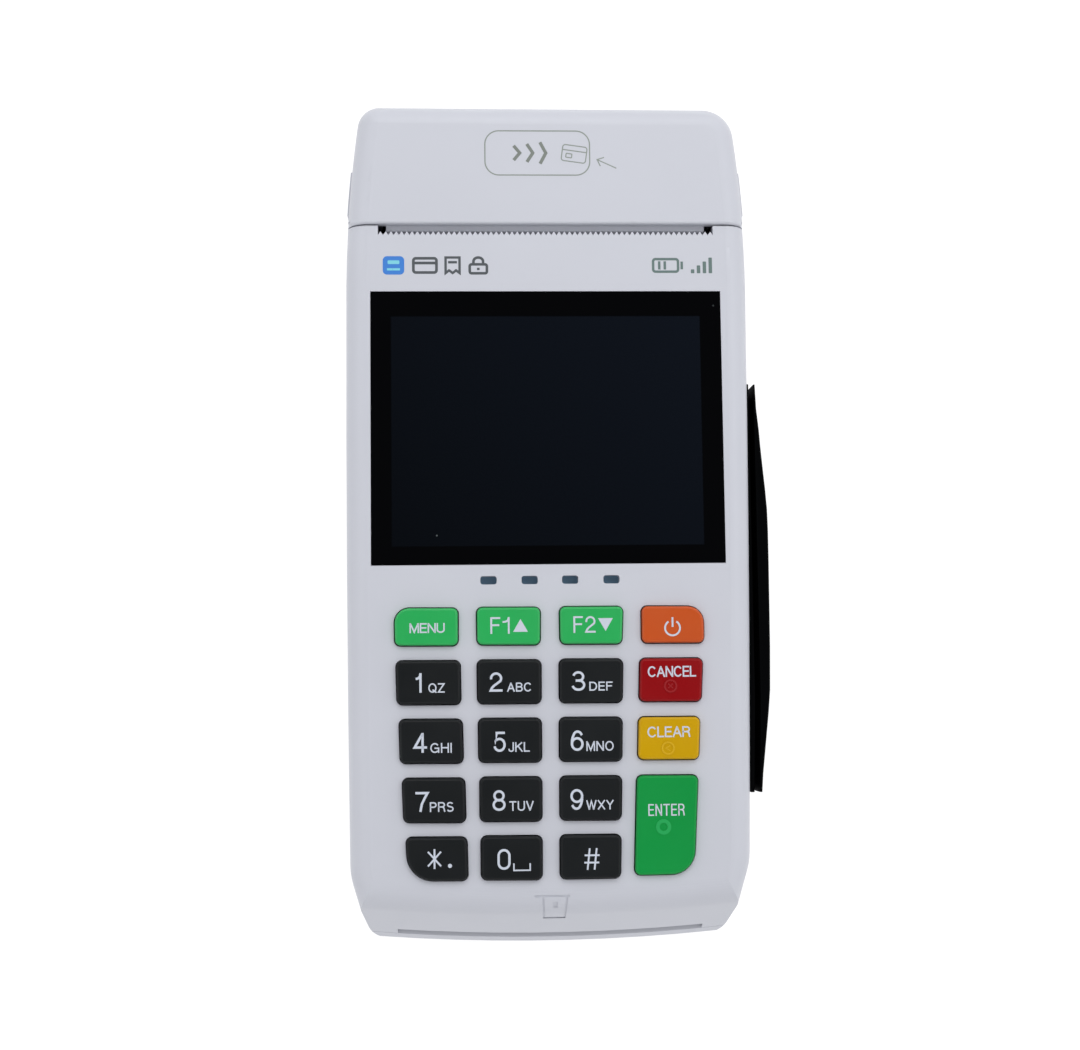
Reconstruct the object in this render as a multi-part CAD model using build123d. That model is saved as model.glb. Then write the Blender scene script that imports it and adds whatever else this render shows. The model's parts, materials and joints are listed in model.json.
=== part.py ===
from build123d import *
import math
import os

# Handheld card payment terminal, lying on its back on its four feet.
# Row frame: X to the right of the keypad, Y towards the printer end, Z up.
# Origin: on the resting plane (underside of the feet), at the centre of the
# overall box. The shapes are drawn about the keypad centre line and moved by
# SHIFT_X, SHIFT_Y when they are written.
# Face frame (u, v, h): origin at the centre of the display lens, u right,
# v towards the printer end, h out of the face. The face leans ALPHA degrees.

# ---------------------------------------------------------------- dimensions
ALPHA = 7.0                     # lean of the face plane over the base
FACE_Y, FACE_Z = 15.0, 40.0     # lens centre in the row frame
SHIFT_X, SHIFT_Y = -2.04, -0.6  # centre line to the centre of the overall box
HALF_W = 37.72                  # widest half width of the housings
SKEW, SKEW_U = -0.2, 0.25       # outline set on the keypad centre line: turn and offset
REAR_V = 61.4                   # rear wall, face frame
FRONT_V = -95.6                 # front lip at the centre line, face frame
FRONT_R = 372.0                 # plan radius of the bowed front
EDGE_R = 4.0                    # rounding round the upper edges
WALL = 2.0                      # housing wall
PART_H = -11.4                  # parting plane, face frame
BASE_Z = 1.5                    # underside of the lower housing
SEAM_V = 38.35                  # front edge of the printer cover
COVER_RISE = 0.7                # cover stands this much above the face
LENS_W, LENS_L = 65.34, 51.02   # display lens
KEY_TRAVEL = 0.8
KEY_PROUD = 1.15
PLATEN_R, PLATEN_V, PLATEN_H = 4.0, 42.0, -8.8
HINGE_Y, HINGE_Z, HINGE_R = 76.4, 24.0, 2.4
IDLER_YZ = (50.29, 25.13)
PINION_YZ = (37.42, 23.3)
MODULE = 0.5
ROLL_YZ, BAY_R = (60.8, 18.6), 13.8
SLOT_CARD_HALF = 28.4

os.makedirs("parts", exist_ok=True)
FACE = Location((0, FACE_Y, FACE_Z), (ALPHA, 0, 0))
CA, SA = math.cos(math.radians(ALPHA)), math.sin(math.radians(ALPHA))


def to_row(v, h):
    return FACE_Y + v * CA - h * SA, FACE_Z + v * SA + h * CA


def to_face(y, z):
    return (y - FACE_Y) * CA + (z - FACE_Z) * SA, -(y - FACE_Y) * SA + (z - FACE_Z) * CA


def block(x0, x1, y0, y1, z0, z1):
    return Pos((x0 + x1) / 2, (y0 + y1) / 2, (z0 + z1) / 2) * Box(x1 - x0, y1 - y0, z1 - z0)


def prism(points, z0, z1):
    """Closed outline in XY, extruded from z0 to z1."""
    return extrude(Pos(0, 0, z0) * make_face(Polyline(*points, close=True)), amount=z1 - z0, dir=(0, 0, 1))


def side_prism(points, x0, x1):
    """Closed outline in (y, z), extruded along X from x0 to x1."""
    f = make_face(Polyline(*[(x0, p[0], p[1]) for p in points], close=True))
    return extrude(f, amount=x1 - x0, dir=(1, 0, 0))


def rod(x0, x1, y, z, r):
    """Round bar along X."""
    return Pos((x0 + x1) / 2, y, z) * Rot(0, 90, 0) * Cylinder(r, x1 - x0)


def post(x, y, z0, z1, r):
    return Pos(x, y, (z0 + z1) / 2) * Cylinder(r, z1 - z0)


def rounded(x0, x1, y0, y1, z0, z1, r):
    return Pos((x0 + x1) / 2, (y0 + y1) / 2, z0) * extrude(RectangleRounded(x1 - x0, y1 - y0, r), amount=z1 - z0)


def group(items):
    """Loose solids that share one node."""
    return list(items)


def one(shape):
    """The single solid in a boolean result (the largest if slivers remain)."""
    solids = shape.solids()
    return max(solids, key=lambda s: s.volume)


def save(name, shape):
    move = Pos(SHIFT_X, SHIFT_Y, 0)
    if isinstance(shape, list):
        shape = Compound(children=[move * s for s in shape])
    else:
        shape = move * shape
    export_step(shape, "parts/" + name + ".step")


# ---------------------------------------------------------------- outer body
def plan(off=0.0, corner=3.4):
    """Plan outline in the face frame, shrunk by off. The right side runs in earlier at the front."""
    w = HALF_W - off
    rv, ru, rx = -80.2, 36.55 - off, 32.35 - off
    lv, lu, lx = -82.0, 36.75 - off, 33.0 - off
    ytop = REAR_V - off
    rcv = FRONT_V + off + rx * rx / (2 * FRONT_R)
    lcv = FRONT_V + off + lx * lx / (2 * FRONT_R)
    face = make_face([
        ThreePointArc((ru, rv), (37.42 - off, -27.0), (w, 22.0)),
        ThreePointArc((w, 22.0), (37.12 - off, 43.0), (35.0 - off, ytop)),
        Line((35.0 - off, ytop), (-(35.1 - off), ytop)),
        ThreePointArc((-(35.1 - off), ytop), (-(37.12 - off), 43.0), (-w, 22.0)),
        ThreePointArc((-w, 22.0), (-(37.5 - off), -27.0), (-lu, lv)),
        Line((-lu, lv), (-lx, lcv)),
        ThreePointArc((-lx, lcv), (0, FRONT_V + off), (rx, rcv)),
        Line((rx, rcv), (ru, rv)),
    ])
    face = fillet([v for v in face.vertices() if v.Y < -90], corner)
    face = fillet([v for v in face.vertices() if v.Y > ytop - 0.01 and v.X > 0], max(6.0 - off, 1.6))
    face = fillet([v for v in face.vertices() if v.Y > ytop - 0.01 and v.X < 0], max(4.2 - off, 1.0))
    face = fillet([v for v in face.vertices() if min(abs(v.Y - rv), abs(v.Y - lv)) < 0.01], 13.0)
    return Pos(SKEW_U, 0, 0) * Rot(0, 0, SKEW) * face


def front_cut(off=0.0):
    """Everything in front of and above the rolled front edge."""
    a = math.radians(60)
    r = 6.0 + (0 if off == 0 else -off)
    v0 = -84.3
    c = (v0, -6.0)
    pts = [(v0, -off)]
    for i in range(1, 13):
        t = a * i / 12
        pts.append((c[0] - r * math.sin(t), c[1] + r * math.cos(t)))
    # tangent bevel down to the lip, then the rounded lip
    tx, th = -math.cos(a), -math.sin(a)
    end_v = FRONT_V + off + 0.25
    p = pts[-1]
    k = (end_v - p[0]) / tx
    q = (end_v, p[1] + th * k)
    pts.append(q)
    return pts, q


def revolve_front(points):
    """Turn a (v, h) outline about the upright axis of the bowed front."""
    cv = FRONT_V + FRONT_R
    f = make_face(Polyline(*[(0, p[0], p[1]) for p in points], close=True))
    f = f.rotate(Axis((0, cv, 0), (0, 0, 1)), -8)
    return revolve(f, Axis((0, cv, 0), (0, 0, 1)), 16)


def base_cut():
    """Half space under the base, as a block in the face frame."""
    return FACE.inverse() * block(-60, 60, -130, 120, -60, BASE_Z)


def outer(off=0.0, edge=EDGE_R, rise=0.0):
    body = extrude(Pos(0, 0, -46) * plan(off), amount=46 - off + rise, dir=(0, 0, 1))
    if edge > 0:
        top = body.faces().sort_by(Axis.Z)[-1]
        body = fillet(top.edges(), edge)
    pts, q = front_cut(off)
    cutter = [(pts[0][0], 6.0)] + pts + [(q[0], -46.5), (-112, -46.5), (-112, 6.0)]
    body = body - revolve_front(cutter)
    return one(body)


shell_out = outer()
shell_in = outer(WALL, 0.0)
# the rear of the base rises to the hinge, the front is drafted a little
y_r, z_r = to_row(REAR_V, -26.5)
rear_under = side_prism([(95, -20), (95, 21.3), (78.9, 21.3), (75.83, BASE_Z + 1.35), (75.5, BASE_Z + 0.6), (75.0, BASE_Z + 0.15), (74.3, BASE_Z), (74.0, BASE_Z - 4), (74.0, -20)], -60, 60)
rear_under_in = side_prism([(95, -20), (95, 21.3), (76.8, 21.3), (73.5, BASE_Z + WALL), (73.0, BASE_Z - 4), (73.0, -20)], -60, 60)
base_out = block(-60, 60, -130, 120, -80, BASE_Z)
base_in = block(-60, 60, -130, 120, -80, BASE_Z + WALL)
row_out = FACE * shell_out - base_out - rear_under
skirt = FACE * extrude(Pos(0, 0, -60) * plan(), amount=70, dir=(0, 0, 1)) - base_out
skirt_edges = [e for e in skirt.edges() if abs(e.center().Z - BASE_Z) < 0.02]
skirt = chamfer(skirt_edges, 0.9)
row_out = row_out & skirt
row_in = FACE * shell_in - base_in - rear_under_in
row_out, row_in = one(row_out), one(row_in)
hollow = one(row_out - row_in)

above = FACE * block(-60, 60, -130, 120, PART_H, 20)
below = FACE * block(-60, 60, -130, 120, -80, PART_H - 0.15)
front_zone = FACE * block(-60, 60, -130, SEAM_V - 0.25, -80, 20)

# ---------------------------------------------------------------- keys
KEYS = {
    "menu": [(-28.69, -33.24), (-16.69, -33.34), (-16.72, -40.56), (-28.58, -40.48)],
    "f1": [(-13.64, -33.25), (-1.6, -33.33), (-1.72, -40.55), (-13.58, -40.45)],
    "f2": [(1.57, -33.27), (13.63, -33.3), (13.31, -40.52), (1.64, -40.46)],
    "power": [(16.68, -33.28), (28.49, -33.4), (28.46, -40.48), (16.63, -40.43)],
    "1": [(-28.39, -42.87), (-16.39, -42.94), (-16.29, -51.25), (-28.2, -51.18)],
    "2": [(-13.6, -42.88), (-1.59, -42.95), (-1.66, -51.22), (-13.54, -51.18)],
    "3": [(1.43, -42.87), (13.45, -42.94), (13.19, -51.22), (1.38, -51.15)],
    "cancel": [(16.24, -42.86), (28.19, -42.93), (27.72, -51.19), (15.97, -51.12)],
    "4": [(-27.87, -53.5), (-16.09, -53.59), (-15.91, -61.87), (-27.65, -61.79)],
    "5": [(-13.45, -53.5), (-1.66, -53.57), (-1.68, -61.85), (-13.41, -61.76)],
    "6": [(1.33, -53.5), (13.15, -53.57), (12.96, -61.84), (1.26, -61.76)],
    "clear": [(15.82, -53.56), (27.45, -53.61), (27.05, -61.74), (15.55, -61.66)],
    "7": [(-27.33, -64.13), (-15.71, -64.22), (-15.54, -72.54), (-27.06, -72.39)],
    "8": [(-13.26, -64.09), (-1.69, -64.18), (-1.75, -72.5), (-13.26, -72.41)],
    "9": [(1.3, -64.11), (12.91, -64.2), (12.66, -72.48), (1.23, -72.36)],
    "enter": [(15.34, -64.14), (26.9, -64.23), (25.84, -82.36), (14.65, -82.42)],
    "star": [(-26.73, -74.7), (-15.4, -74.8), (-15.24, -82.9), (-26.31, -82.8)],
    "0": [(-13.13, -74.67), (-1.76, -74.76), (-1.84, -82.97), (-13.13, -82.82)],
    "hash": [(1.2, -74.68), (12.61, -74.76), (12.39, -82.88), (1.14, -82.89)],
}
# larger corner roundings: (corner index, radius)
BIG = {"menu": (0, 2.9), "power": (1, 3.2), "star": (3, 5.0), "enter": (2, 4.6)}
KEY_GAP = 0.22


def key_face(name, shrink):
    """Key outline (clockwise corners), shrunk by shrink on every side."""
    p = KEYS[name]
    cx, cv = sum(q[0] for q in p) / 4, sum(q[1] for q in p) / 4
    pts = [(x - math.copysign(shrink, x - cx), y - math.copysign(shrink, y - cv)) for x, y in p]
    f = make_face(Polyline(*pts, close=True))
    big, r = BIG.get(name, (-1, 0))
    small = [v for v in f.vertices() if big < 0 or math.hypot(v.X - pts[big][0], v.Y - pts[big][1]) > 0.5]
    f = fillet(small, max(1.25 - shrink, 0.5))
    if big >= 0:
        f = fillet([v for v in f.vertices() if math.hypot(v.X - pts[big][0], v.Y - pts[big][1]) < 0.05], r - shrink)
    return f


def make_key(name):
    cap = extrude(Pos(0, 0, -2.35) * key_face(name, KEY_GAP), amount=2.35 + KEY_PROUD, dir=(0, 0, 1))
    top = cap.faces().sort_by(Axis.Z)[-1]
    cap = fillet(top.edges(), 0.45)
    flange = extrude(Pos(0, 0, -3.15) * key_face(name, -0.35), amount=0.8, dir=(0, 0, 1))
    p = KEYS[name]
    cx, cv = sum(q[0] for q in p) / 4, sum(q[1] for q in p) / 4
    plunger = post(cx, cv, -4.25, -3.1, 1.5)
    return one(cap + flange + plunger)


key_holes = None
for k in KEYS:
    h = extrude(Pos(0, 0, -4) * key_face(k, 0.0), amount=6, dir=(0, 0, 1))
    key_holes = h if key_holes is None else key_holes + h

# ---------------------------------------------------------------- upper housing
upper = row_out & above & front_zone
upper = upper - FACE * shell_in
upper = one(upper)
f_cuts = [
    key_holes,
    block(-LENS_W / 2 - 0.08, LENS_W / 2 + 0.08, -LENS_L / 2 - 0.08, LENS_L / 2 + 0.08, -1.15, 2),
    block(-29.9, 29.9, -23.3, 22.3, -5, 2),
]
for c in (-11.21, -3.64, 3.82, 11.45):
    f_cuts.append(rounded(c - 1.5, c + 1.5, -29.22, -27.66, -4, 2, 0.5))
# paper exit: pocket behind the serrated edge
f_cuts.append(block(-31.3, 31.6, 36.98, 45, -14, 4))
n = 64
saw = [(-31.3, 40.0)]
for i in range(n):
    a0 = -31.3 + i * (62.9 / n)
    saw += [(a0, 36.28), (a0 + 62.9 / n / 2, 36.98)]
saw += [(31.6, 36.28), (31.6, 40.0)]
f_cuts.append(prism(saw, -3, 3))
# card slot mouth under the front bevel, and its lead-in
f_cuts.append(block(-SLOT_CARD_HALF, SLOT_CARD_HALF, -100, -88.5, -14, -9.9))
# pictogram engraved in front of the keys
icon = block(-3.35, 3.0, -85.98, -85.62, -5, 1)
icon = icon + prism([(-2.04, -85.8), (-1.68, -85.8), (-1.34, -90.06), (-1.7, -90.06)], -6, 1)
icon = icon + prism([(2.36, -85.8), (2.72, -85.8), (2.38, -90.06), (2.02, -90.06)], -6, 1)
icon = icon + block(-1.7, 2.38, -90.22, -89.88, -6, 1)
chip_mark = block(0.05, 0.8, -87.95, -86.9, -6, 1)
icon_band = outer(0.14, 0.0)
icon_cut = (icon + chip_mark) - icon_band
f_cuts.append(icon_cut)
for c in f_cuts:
    upper = upper - FACE * c
upper = one(upper)
# screw bosses
BOSSES = [(-33.2, -70.0), (33.2, -70.0), (-33.4, 11.0), (33.4, 11.0)]
for bx, bv in BOSSES:
    upper = upper + (FACE * post(bx, bv, PART_H + 0.1, -1.5, 2.0)) - (FACE * post(bx, bv, PART_H - 1, -5, 0.8))
upper = one(upper)

# ---------------------------------------------------------------- lower housing
lower = row_out & below
lower = lower - row_in
# the roll opening at the rear, filled by the cover tongue
TONGUE = 31.0
rear_open = block(-TONGUE - 0.3, TONGUE + 0.3, 70.0, 90, HINGE_Z - 2.75, 60)
lower = lower - rear_open
lower = lower - rod(-TONGUE - 0.3, TONGUE + 0.3, HINGE_Y, HINGE_Z, HINGE_R + 0.35)
lower = one(lower)
# battery well opening in the floor, with a ledge for the door
DOOR = (-27.0, 27.0, -33.0, 31.0)
lower = lower - block(DOOR[0] - 0.3, DOOR[1] + 0.3, DOOR[2] - 0.3, DOOR[3] + 0.3, BASE_Z - 1, BASE_Z + WALL + 0.5)
# speaker slots and the cable port in the rear left corner side
for i in range(6):
    lower = lower - block(-24 + i * 2.2, -22.8 + i * 2.2, -62, -52, 0, 5)
port_y = 14.0
lower = lower - block(-42, -30, port_y - 4.8, port_y + 4.8, 9.6, 13.6)
# hinge lugs standing on the rear wall
lug = side_prism([(73.2, HINGE_Z), (73.3, 10.0), (76.5, 10.0), (78.0, 20.0), (78.6, HINGE_Z)], 0, 4.0)
lug_round = rod(0, 4.0, HINGE_Y, HINGE_Z, HINGE_R)
for s in (-31.2, 27.2):
    lower = lower + Pos(s, 0, 0) * (side_prism([(74.2, HINGE_Z + 0.2), (74.6, 12.0), (77.0, 12.0), (78.4, 20.0), (78.6, HINGE_Z)], 0, 4.0) + lug_round)
lower = lower - rod(-31.3, 31.3, HINGE_Y, HINGE_Z, 1.02)
# screw posts up to the parting plane, and the board posts
for bx, bv in BOSSES:
    y0, z0 = to_row(bv, PART_H - 0.1)
    lower = lower + (FACE * post(bx, bv, -45, PART_H - 0.15, 2.0) & block(-60, 60, -130, 120, BASE_Z + 0.5, 60))
    lower = lower - FACE * post(bx, bv, -50, PART_H + 1, 0.85) - (FACE * post(bx, bv, -50, -26, 1.6) if bv < 0 else FACE * post(bx, bv, -50, -34, 1.6))
# foot recesses
FEET = [(-29.0, -66.0), (29.0, -66.0), (-29.0, 66.5), (29.0, 66.5)]
for fx, fy in FEET:
    lower = lower - post(fx, fy, 0, BASE_Z + 0.6, 4.1)
lower = one(lower)

# ---------------------------------------------------------------- printer cover
cov_outer = outer(0.0, EDGE_R, COVER_RISE)
cover = FACE * (cov_outer & block(-60, 60, SEAM_V, 90, PART_H + 0.25, 20))
front_top = [e for e in cover.edges() if abs(to_face(e.center().Y, e.center().Z)[0] - SEAM_V) < 0.02 and to_face(e.center().Y, e.center().Z)[1] > COVER_RISE - 0.05]
try:
    cover = fillet(front_top, 0.45)
    print("cover lip rounded")
except Exception as err:
    print("cover lip sharp", err)
cover = cover - FACE * (outer(WALL, 0.0, COVER_RISE) & block(-60, 60, SEAM_V + 0.95, 90, -60, 20))
tongue = row_out & block(-TONGUE, TONGUE, 70.5, 95, HINGE_Z + 0.5, 60) & FACE * block(-60, 60, SEAM_V, 95, -60, PART_H + 0.4)
tongue = tongue - row_in
cover = one(cover + tongue)
# lip: a sloping guide across the paper width that dips under the serrated edge
lip = FACE * side_prism([(SEAM_V + 0.1, -1.4), (37.5, -1.5), (37.28, -1.75), (37.2, -2.1), (36.25, -3.15), (36.25, -3.6), (36.85, -4.2), (SEAM_V + 0.95, -4.3), (SEAM_V + 0.95, -1.4)], -29.8, 30.1)
cover = cover - FACE * block(-60, 60, SEAM_V - 1, SEAM_V + 0.96, PART_H - 1, -1.5)
cover = cover + lip
# side walls forward to the seam
for s in (-1, 1):
    sw = row_out & FACE * block(min(s * 33.0, s * 40), max(s * 33.0, s * 40), SEAM_V, SEAM_V + 1.5, PART_H + 0.25, -1.0)
    cover = cover + one(sw - FACE * shell_in)
cover = one(cover)
# hinge barrel and its web
barrel = rod(-26.8, 26.8, HINGE_Y, HINGE_Z, HINGE_R)
web = row_out & block(-26.8, 26.8, HINGE_Y - 0.2, 90, HINGE_Z, HINGE_Z + 3)
cover = cover + barrel + (web - row_in)
cover = cover - block(-TONGUE - 1, -26.8, 70, 90, 10, HINGE_Z + 2.8) - block(26.8, TONGUE + 1, 70, 90, 10, HINGE_Z + 2.8)
cover = cover - rod(-40, 40, HINGE_Y, HINGE_Z, 1.05)
# platen brackets hanging from the cover top
for s in (-1, 1):
    x0, x1 = sorted((s * 30.6, s * 32.0))
    br = FACE * block(x0, x1, PLATEN_V - 2.6, PLATEN_V + 3.4, PLATEN_H - 2.6, -1.0)
    cover = cover + br
cover = cover - FACE * rod(-33, 33, PLATEN_V, PLATEN_H, 1.53)
# finger grips: shallow raised pads on both flanks
pad_out = extrude(Pos(0, 0, PART_H + 0.7) * plan(-0.3), amount=7.0, dir=(0, 0, 1))
pad_in = extrude(Pos(0, 0, PART_H) * plan(1.0), amount=9.0, dir=(0, 0, 1))
pads = pad_out - pad_in
for s in (-1, 1):
    x0, x1 = sorted((s * 33.0, s * 40.0))
    cover = cover + FACE * one(pads & block(x0, x1, 41.0, 49.3, -40, 5))
cover = one(cover)

# ---------------------------------------------------------------- platen and gears


def gear(teeth, module, width, bore, x0):
    """Spur gear along X from x0, tooth flanks as straight tapers."""
    rp = module * teeth / 2
    ra, rf = rp + 0.9 * module, rp - 1.2 * module
    pts = []
    for i in range(teeth):
        a = 2 * math.pi * i / teeth
        half = math.pi / teeth / 2
        for da, r in ((-half * 1.35, rf), (-half * 0.92, rp), (-half * 0.42, ra), (half * 0.42, ra), (half * 0.92, rp), (half * 1.35, rf)):
            pts.append((r * math.cos(a + da), r * math.sin(a + da)))
    g = side_prism(pts, x0, x0 + width)
    return one(g - rod(x0 - 1, x0 + width + 1, 0, 0, bore)) if bore else g


P_Y, P_Z = to_row(PLATEN_V, PLATEN_H)


def turned(shape, y, z, deg):
    return Pos(0, y, z) * Rot(deg, 0, 0) * shape


def line_angle(a, b):
    """Angle, from +Y towards +Z, of the line from a to b."""
    return math.degrees(math.atan2(b[1] - a[1], b[0] - a[0]))


GX = 32.5
N_PLATEN, N_IDLER, N_PINION = 14, 40, 12
ang_ip = line_angle(IDLER_YZ, (P_Y, P_Z))
ang_im = line_angle(IDLER_YZ, PINION_YZ)
# tooth of the idler on the platen line; the others show it a gap there
idler_turn = ang_ip
platen_turn = ang_ip + 180 + 180.0 / N_PLATEN
tooth = 360.0 / N_IDLER
phase = (ang_im - idler_turn) / tooth
phase = phase - math.floor(phase)
pinion_turn = ang_im + 180 + 180.0 / N_PINION + phase * 360.0 / N_PINION
print("gear distances", math.dist(IDLER_YZ, (P_Y, P_Z)), (N_PLATEN + N_IDLER) * MODULE / 2, math.dist(IDLER_YZ, PINION_YZ), (N_PINION + N_IDLER) * MODULE / 2)

platen_roller = one(rod(-28.9, 28.9, P_Y, P_Z, PLATEN_R) - rod(-40, 40, P_Y, P_Z, 1.5))
platen_shaft = rod(-32.3, 34.6, P_Y, P_Z, 1.5)
platen_gear = turned(gear(N_PLATEN, MODULE, 1.9, 1.5, GX), P_Y, P_Z, platen_turn)
idler_gear = turned(gear(N_IDLER, MODULE, 1.7, 1.05, GX + 0.1), IDLER_YZ[0], IDLER_YZ[1], idler_turn)
motor_pinion = turned(gear(N_PINION, MODULE, 2.0, 0.75, GX), PINION_YZ[0], PINION_YZ[1], pinion_turn)
motor_body = rod(12.0, 30.3, PINION_YZ[0], PINION_YZ[1], 7.4) + rod(30.3, 30.55, PINION_YZ[0], PINION_YZ[1], 3.0)
motor_body = motor_body + rod(11.0, 12.0, PINION_YZ[0], PINION_YZ[1], 2.0)
motor_body = one(motor_body)
motor_shaft = rod(30.55, 34.4, PINION_YZ[0], PINION_YZ[1], 0.75)
motor_pinion = one(motor_pinion)
pinion_set = one(motor_pinion + rod(31.0, 34.6, PINION_YZ[0], PINION_YZ[1], 0.8))
idler_axle = rod(30.9, 34.5, IDLER_YZ[0], IDLER_YZ[1], 1.0)

# ---------------------------------------------------------------- printer frame
cheek = [to_row(28.0, -3.6), to_row(37.4, -3.6), to_row(38.0, -6.6), to_row(38.9, -11.6), to_row(44.0, -12.6), (57.5, 27.0), (57.0, 9.0), (31.0, 9.0), (29.6, 14.0), (29.6, 28.6), to_row(28.0, -10.8)]
frame_parts = []
cheek_r = side_prism(cheek, 30.7, 31.9)
cheek_l = side_prism(cheek, -31.9, -30.7)
clear_roll = rod(-30.8, 30.8, ROLL_YZ[0], ROLL_YZ[1], BAY_R + 1.2)
cross = FACE * block(-30.8, 30.8, 28.5, 30.2, -16.0, -3.8)
foot_plate = block(-30.8, 30.8, 31.0, 44.0, 9.0, 10.0)
frame = cheek_r + cheek_l + cross + foot_plate
frame = frame - rod(30, 33, PINION_YZ[0], PINION_YZ[1], 3.4) - rod(30, 33, IDLER_YZ[0], IDLER_YZ[1], 1.0)
frame = frame - FACE * rod(-33, 33, PLATEN_V, PLATEN_H, 4.6)
for bx, bv in BOSSES:
    frame = frame - FACE * post(bx, bv, -45, 0, 2.35)
printer_frame = one(frame)

# paper trough: two thirds of a tube under the roll
trough = rod(-30.2, 30.2, ROLL_YZ[0], ROLL_YZ[1], BAY_R + 1.0) - rod(-31, 31, ROLL_YZ[0], ROLL_YZ[1], BAY_R)
trough = trough - block(-40, 40, 30, 90, 27.0, 60) - block(-40, 40, ROLL_YZ[0], 90, 20.5, 60)
trough = trough - block(-40, 40, 72.9, 90, 0, 60)
paper_trough = one(trough)

# thermal head: ceramic strip on its heat spreader, pivoting on two pads
head = FACE * block(-27.5, 27.5, 35.2, 37.2, -15.0, -5.2)
strip = FACE * block(-26.0, 26.0, 37.2, 37.92, -13.2, -5.6)
thermal_head = one(head + strip)
springs = []
for sx in (-18, 0, 18):
    ring = Solid.make_torus(1.6, 0.28, Plane.XZ)
    stack = None
    for i in range(8):
        t = FACE * (Pos(sx, 30.5 + 0.3 + i * 0.58, -9.4) * Rot(90, 0, 0) * Torus(1.5, 0.3))
        stack = t if stack is None else stack + t
    springs.append(one(stack))
head_springs = group(springs)

# ---------------------------------------------------------------- display
lens = one(FACE * rounded(-LENS_W / 2, LENS_W / 2, -LENS_L / 2, LENS_L / 2, -1.1, 0.05, 0.35))
lcd_panel = FACE * block(-29.6, 29.6, -23.0, 22.0, -2.6, -1.2)
lcd_tray = one(FACE * (block(-30.6, 30.6, -24.6, 23.2, -4.6, -2.1) - block(-29.65, 29.65, -23.05, 22.05, -2.65, 0)))
guides = group([one(FACE * (rounded(c - 1.44, c + 1.44, -29.16, -27.72, -2.0, -0.12, 0.45) + block(c - 1.9, c + 1.9, -29.5, -27.4, -3.6, -2.05))) for c in (-11.21, -3.64, 3.82, 11.45)])

# ---------------------------------------------------------------- boards
pcb = FACE * rounded(-32.0, 32.0, -85.5, 26.5, -7.2, -5.6, 2.5)
for bx, bv in BOSSES:
    pcb = pcb - FACE * post(bx, bv, -45, 0, 2.4)
pcb = one(pcb)
membrane = FACE * (block(-30.5, 30.5, -84.6, -31.6, -4.7, -4.02))
holes = None
for k in KEYS:
    p = KEYS[k]
    cx, cv = sum(q[0] for q in p) / 4, sum(q[1] for q in p) / 4
    c = post(cx, cv, -6, -3, 1.9)
    holes = c if holes is None else holes + c
membrane = one(membrane - FACE * holes)
domes = group([FACE * (Pos(sum(q[0] for q in KEYS[k]) / 4, sum(q[1] for q in KEYS[k]) / 4, -5.6) * extrude(Circle(1.8), amount=0.5, taper=35)) for k in KEYS])
shield = FACE * (block(-24, 24, -20, 18, -10.4, -7.25) - block(-23.6, 23.6, -19.6, 17.6, -10.0, -7.0))
shield = one(shield)
chips = group([FACE * block(a, b, c, d, e, -7.25) for a, b, c, d, e in [(-18, -6, -12, 0, -8.6), (2, 12, -10, 4, -8.4), (-16, -9, 5, 12, -8.3), (14, 20, 5, 14, -8.5), (-30, -26, -10, -4, -8.2), (26, 31, 10, 20, -8.8)]])
coin = FACE * (Pos(-27.6, 10.5, -9.6) * Rot(0, 90, 0) * Cylinder(3.4, 1.0)) if False else FACE * post(-28.0, 16.0, -10.0, -7.25, 3.4)

# chip card reader: moulded body with the card channel open at the front
reader = FACE * block(-30.0, 30.0, -90.2, -50.0, -13.6, -8.0)
reader = reader - FACE * block(-27.4, 27.4, -95, -53.0, -11.4, -10.0)
reader = reader - FACE * block(-28.4, 28.4, -95, -88.4, -11.6, -9.85)
reader = reader & FACE * outer(WALL + 0.3, 0.0)
for bx, bv in BOSSES:
    reader = reader - FACE * post(bx, bv, -45, 0, 2.4)
reader = one(reader)
contacts = group([FACE * block(cx - 0.6, cx + 0.6, cv - 1.6, cv + 1.6, -9.98, -9.7) for cx in (-3.81, -1.27, 1.27, 3.81) for cv in (-68.5, -60.9)])
reader_contact_slots = None
for cx in (-3.81, -1.27, 1.27, 3.81):
    for cv in (-68.5, -60.9):
        reader = reader - FACE * block(cx - 0.6, cx + 0.6, cv - 1.6, cv + 1.6, -10.2, -9.7)
reader = one(reader)

# ---------------------------------------------------------------- swipe track on the right flank
TRK_TOP, TRK_BOT = -4.2, -21.0
track = prism([(38.03, 8.6), (38.35, 8.6), (38.3, -50.0), (37.8, -67.9), (37.2, -67.9), (37.38, -55.0), (37.6, -40.0), (37.85, -20.0)], TRK_BOT, TRK_TOP)
track_floor = prism([(38.2, 8.6), (39.35, 8.6), (39.35, -50.0), (38.88, -67.9), (37.7, -67.9), (38.2, -50.0)], TRK_BOT, TRK_BOT + 2.2)
rail_out = [(39.62, 8.6), (39.8, 4.0), (40.2, 0.0), (40.45, -3.5), (40.8, -7.6), (41.15, -11.4), (41.42, -15.2), (41.5, -19.0), (41.5, -24.0), (41.45, -32.0), (41.38, -41.0), (41.2, -49.0), (40.85, -53.0), (40.4, -57.0), (39.95, -61.0), (39.55, -64.5), (39.3, -67.9)]
rail = prism([(38.88, -67.9), (39.35, -50.0), (39.35, 8.6)] + rail_out, TRK_BOT, TRK_TOP)
top = rail.faces().sort_by(Axis.Z)[-1]
try:
    outer_edges = [e for e in top.edges() if e.center().X > 39.42]
    rail = chamfer(outer_edges, 0.25)
except Exception as err:
    print("rail left sharp", err)
swipe_track = one(FACE * (track + track_floor) - FACE * block(37.0, 39.0, -34.6, -25.4, -15.2, -9.8))
swipe_rail = one(FACE * rail)
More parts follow.
